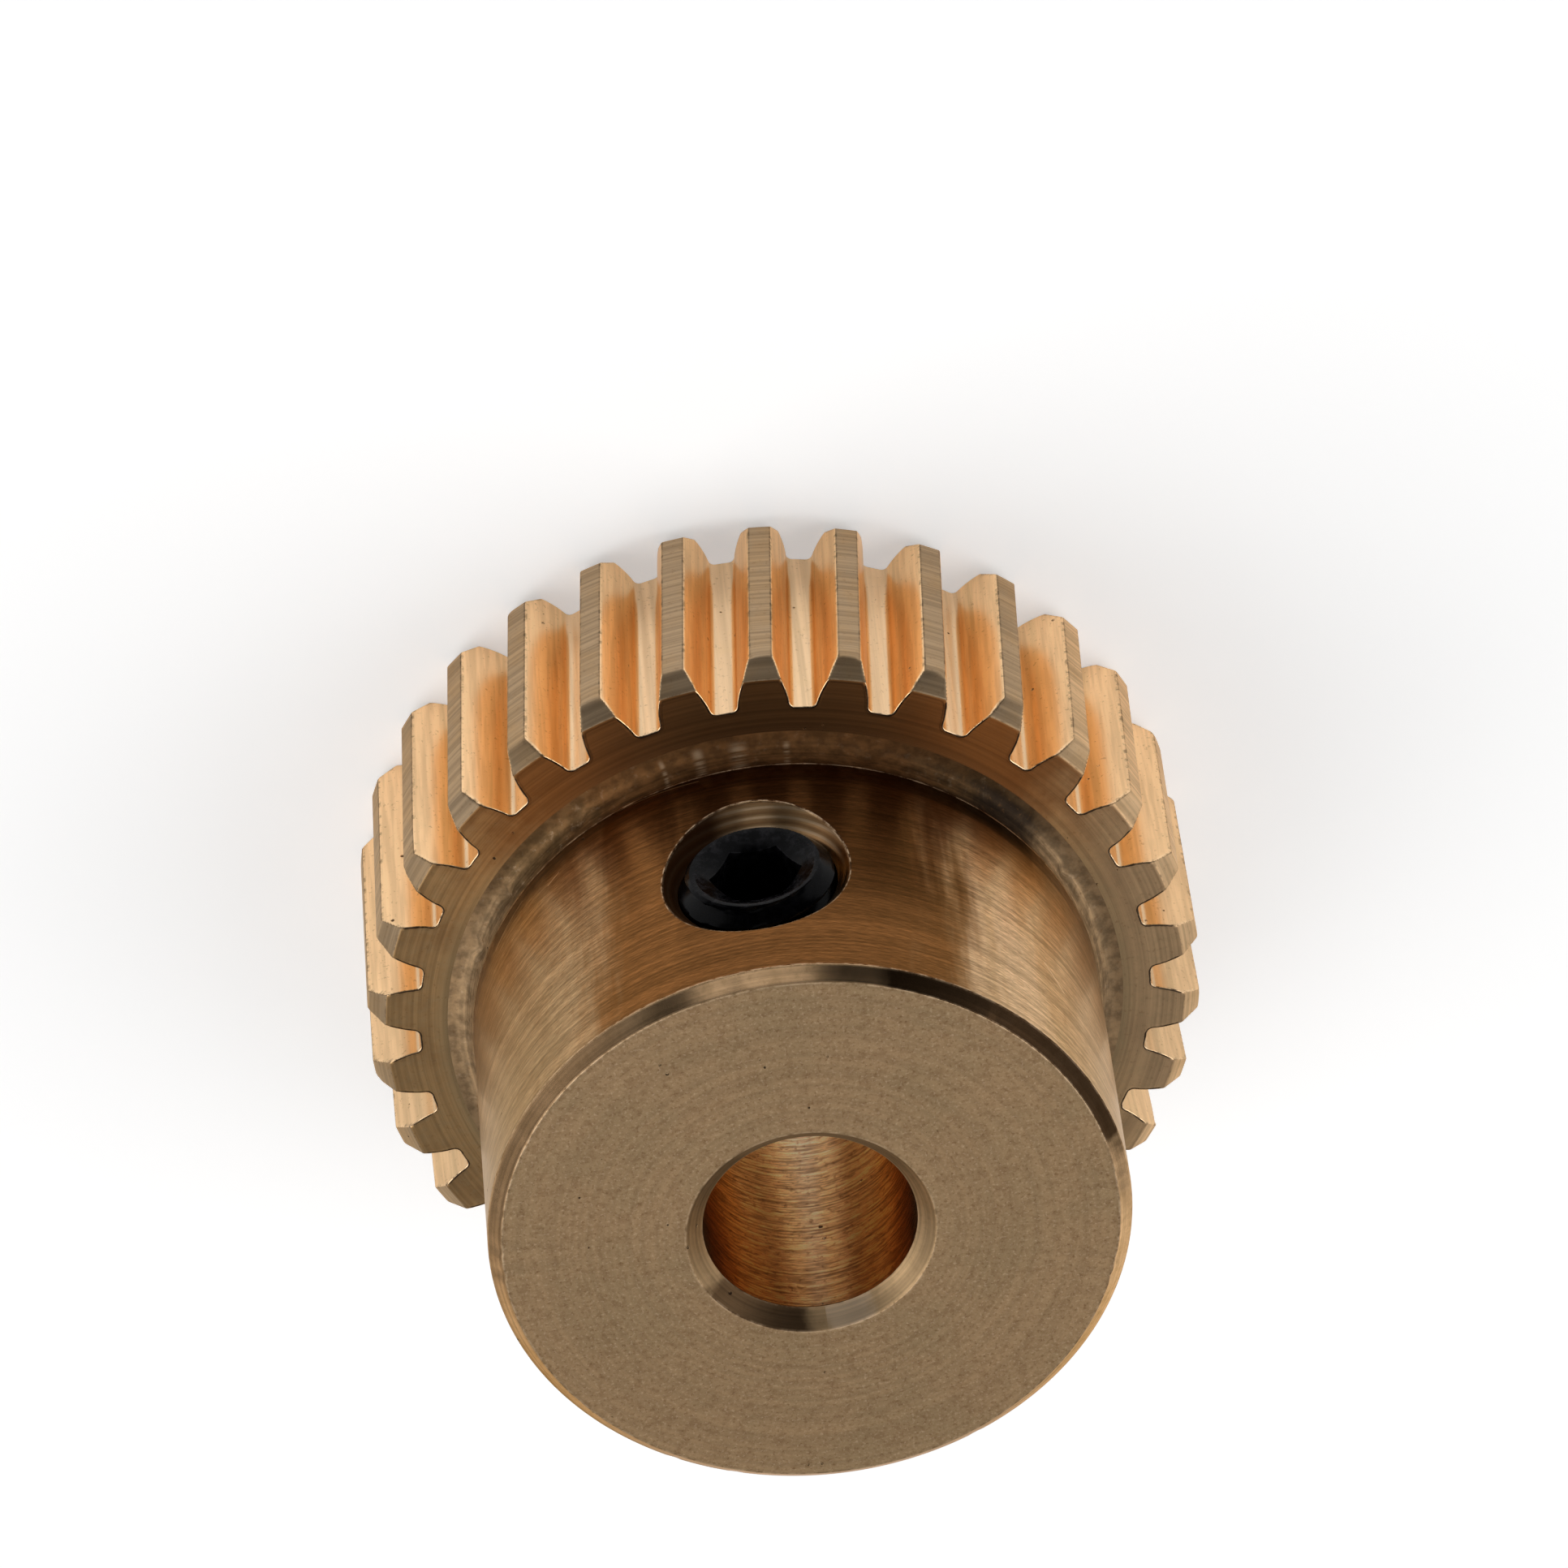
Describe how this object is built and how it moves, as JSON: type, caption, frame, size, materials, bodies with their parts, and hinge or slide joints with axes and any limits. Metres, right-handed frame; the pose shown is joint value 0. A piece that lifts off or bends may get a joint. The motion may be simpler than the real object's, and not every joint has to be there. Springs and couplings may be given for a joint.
{
  "type": "worm wheel",
  "caption": "Helical-toothed worm wheel with a one-sided plain hub, a through bore and a socket grub screw in the hub wall.",
  "frame": {"origin": "on the wheel's axis, at the back face of the toothed rim, which is the part's lowest plane", "axes": "+Z along the bore from the toothed rim to the hub's end; -Y points from the axis out through the grub screw"},
  "size_m": [0.016, 0.016, 0.012],
  "materials": {
    "wheel_brass": "turned and hobbed brass, uncoated, with fine tool marks",
    "screw_steel": "black oxide alloy steel, slightly oily"
  },
  "bodies": {
    "root": {"worm_wheel": "wheel_brass", "grub_screw": "screw_steel"}
  },
  "joints": []
}
